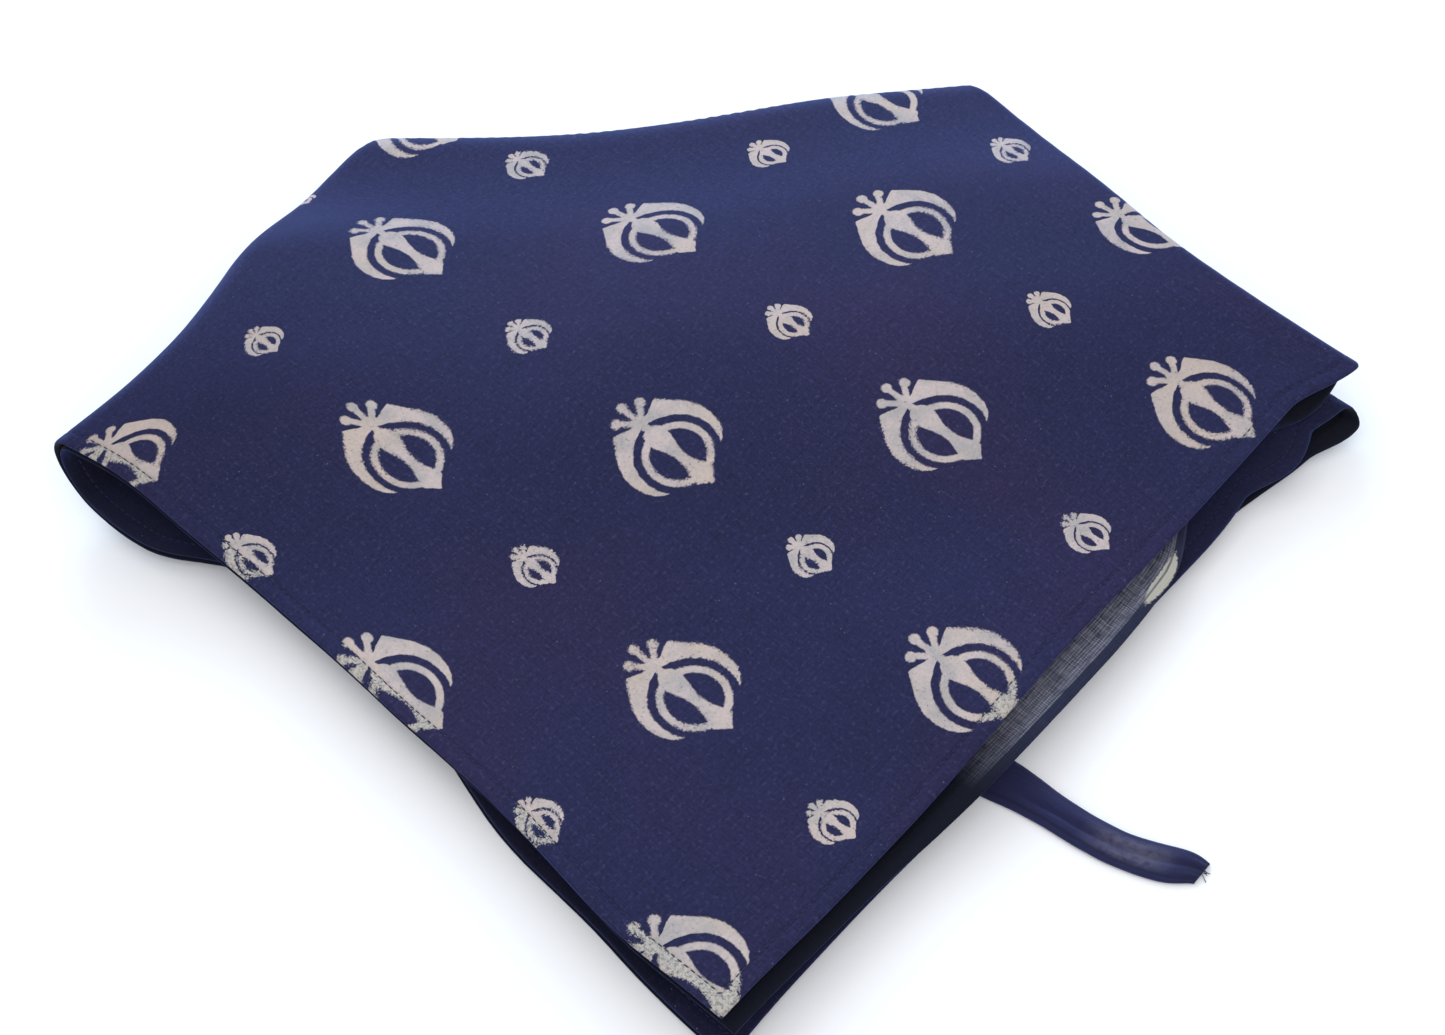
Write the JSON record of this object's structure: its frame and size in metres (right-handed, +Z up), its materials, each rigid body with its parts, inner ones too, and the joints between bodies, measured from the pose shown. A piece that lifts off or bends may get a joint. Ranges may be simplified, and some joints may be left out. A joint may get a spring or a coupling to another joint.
{
  "type": "folded rumal head wrap",
  "caption": "Square printed cotton head wrap folded in four, its back corner turned under, with a narrow tie strap sewn under its hem; lies flat on a surface.",
  "frame": {"origin": "under the middle of the bounding box, on the surface that the cloth lies on", "axes": "+Z up out of the surface, +X to the right along the two side corners, -Y to the free front corner"},
  "size_m": [0.4524, 0.3874, 0.0367],
  "materials": {
    "printed_cotton": "matt fine plain weave, navy, block printed in warm light grey",
    "plain_cotton": "matt fine plain weave, navy, unprinted"
  },
  "bodies": {
    "root": {"cloth": "printed_cotton", "tie": "plain_cotton"}
  },
  "joints": []
}
